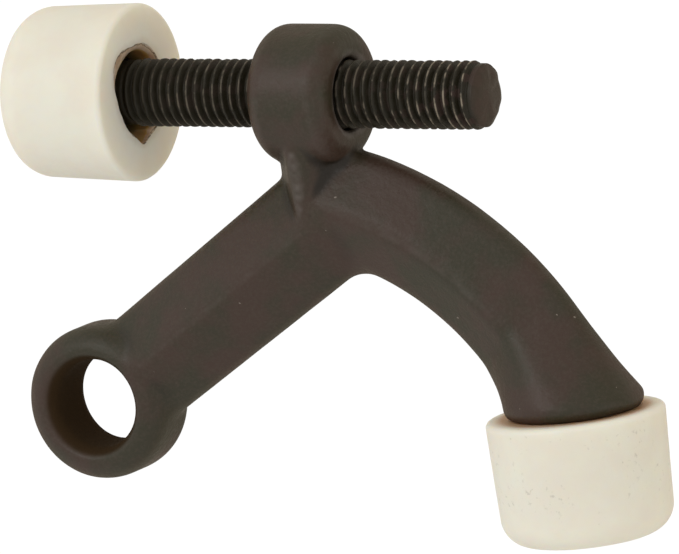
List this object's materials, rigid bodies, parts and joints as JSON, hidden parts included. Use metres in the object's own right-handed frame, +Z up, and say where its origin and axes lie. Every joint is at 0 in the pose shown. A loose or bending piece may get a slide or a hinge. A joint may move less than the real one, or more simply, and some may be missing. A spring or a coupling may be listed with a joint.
{
  "type": "hinge-pin door stop",
  "caption": "Cast door stop that hangs on a hinge pin: eye, leg, curved arm with rubber-tipped foot, and a boss with a rubber-tipped adjusting screw.",
  "frame": {"origin": "centre of the hinge-pin bore at mid-height of the eye", "axes": "+Z up the hinge pin, +X along the adjusting screw from its bumper to its tip, +Y from the eye towards the screw"},
  "size_m": [0.0635, 0.0488, 0.0164],
  "materials": {
    "casting": "satin oil-rubbed bronze",
    "screw": "dark bronze plating, bright on the crests",
    "bumper": "soft matt ivory"
  },
  "bodies": {
    "casting_and_foot_bumper": {"casting": "casting", "foot_bumper": "bumper"},
    "sliding_bumper": {"screw_bumper": "bumper"},
    "turning_screw": {"adjusting_screw": "screw"}
  },
  "joints": [
    {"name": "screw_travel", "type": "slide", "parent": "casting_and_foot_bumper", "child": "sliding_bumper", "axis": [1, 0, 0], "range_m": [-0.0127, 0.01179]},
    {"name": "screw_turn", "type": "hinge", "parent": "sliding_bumper", "child": "turning_screw", "pos_m": [0.01, 0.02868, 0], "axis": [1, 0, 0], "range_deg": [-5040.5, 4680.5]}
  ],
  "couplings": [
    {"joint": "screw_turn", "follows": "screw_travel", "rad_per_m": 6926.3}
  ]
}
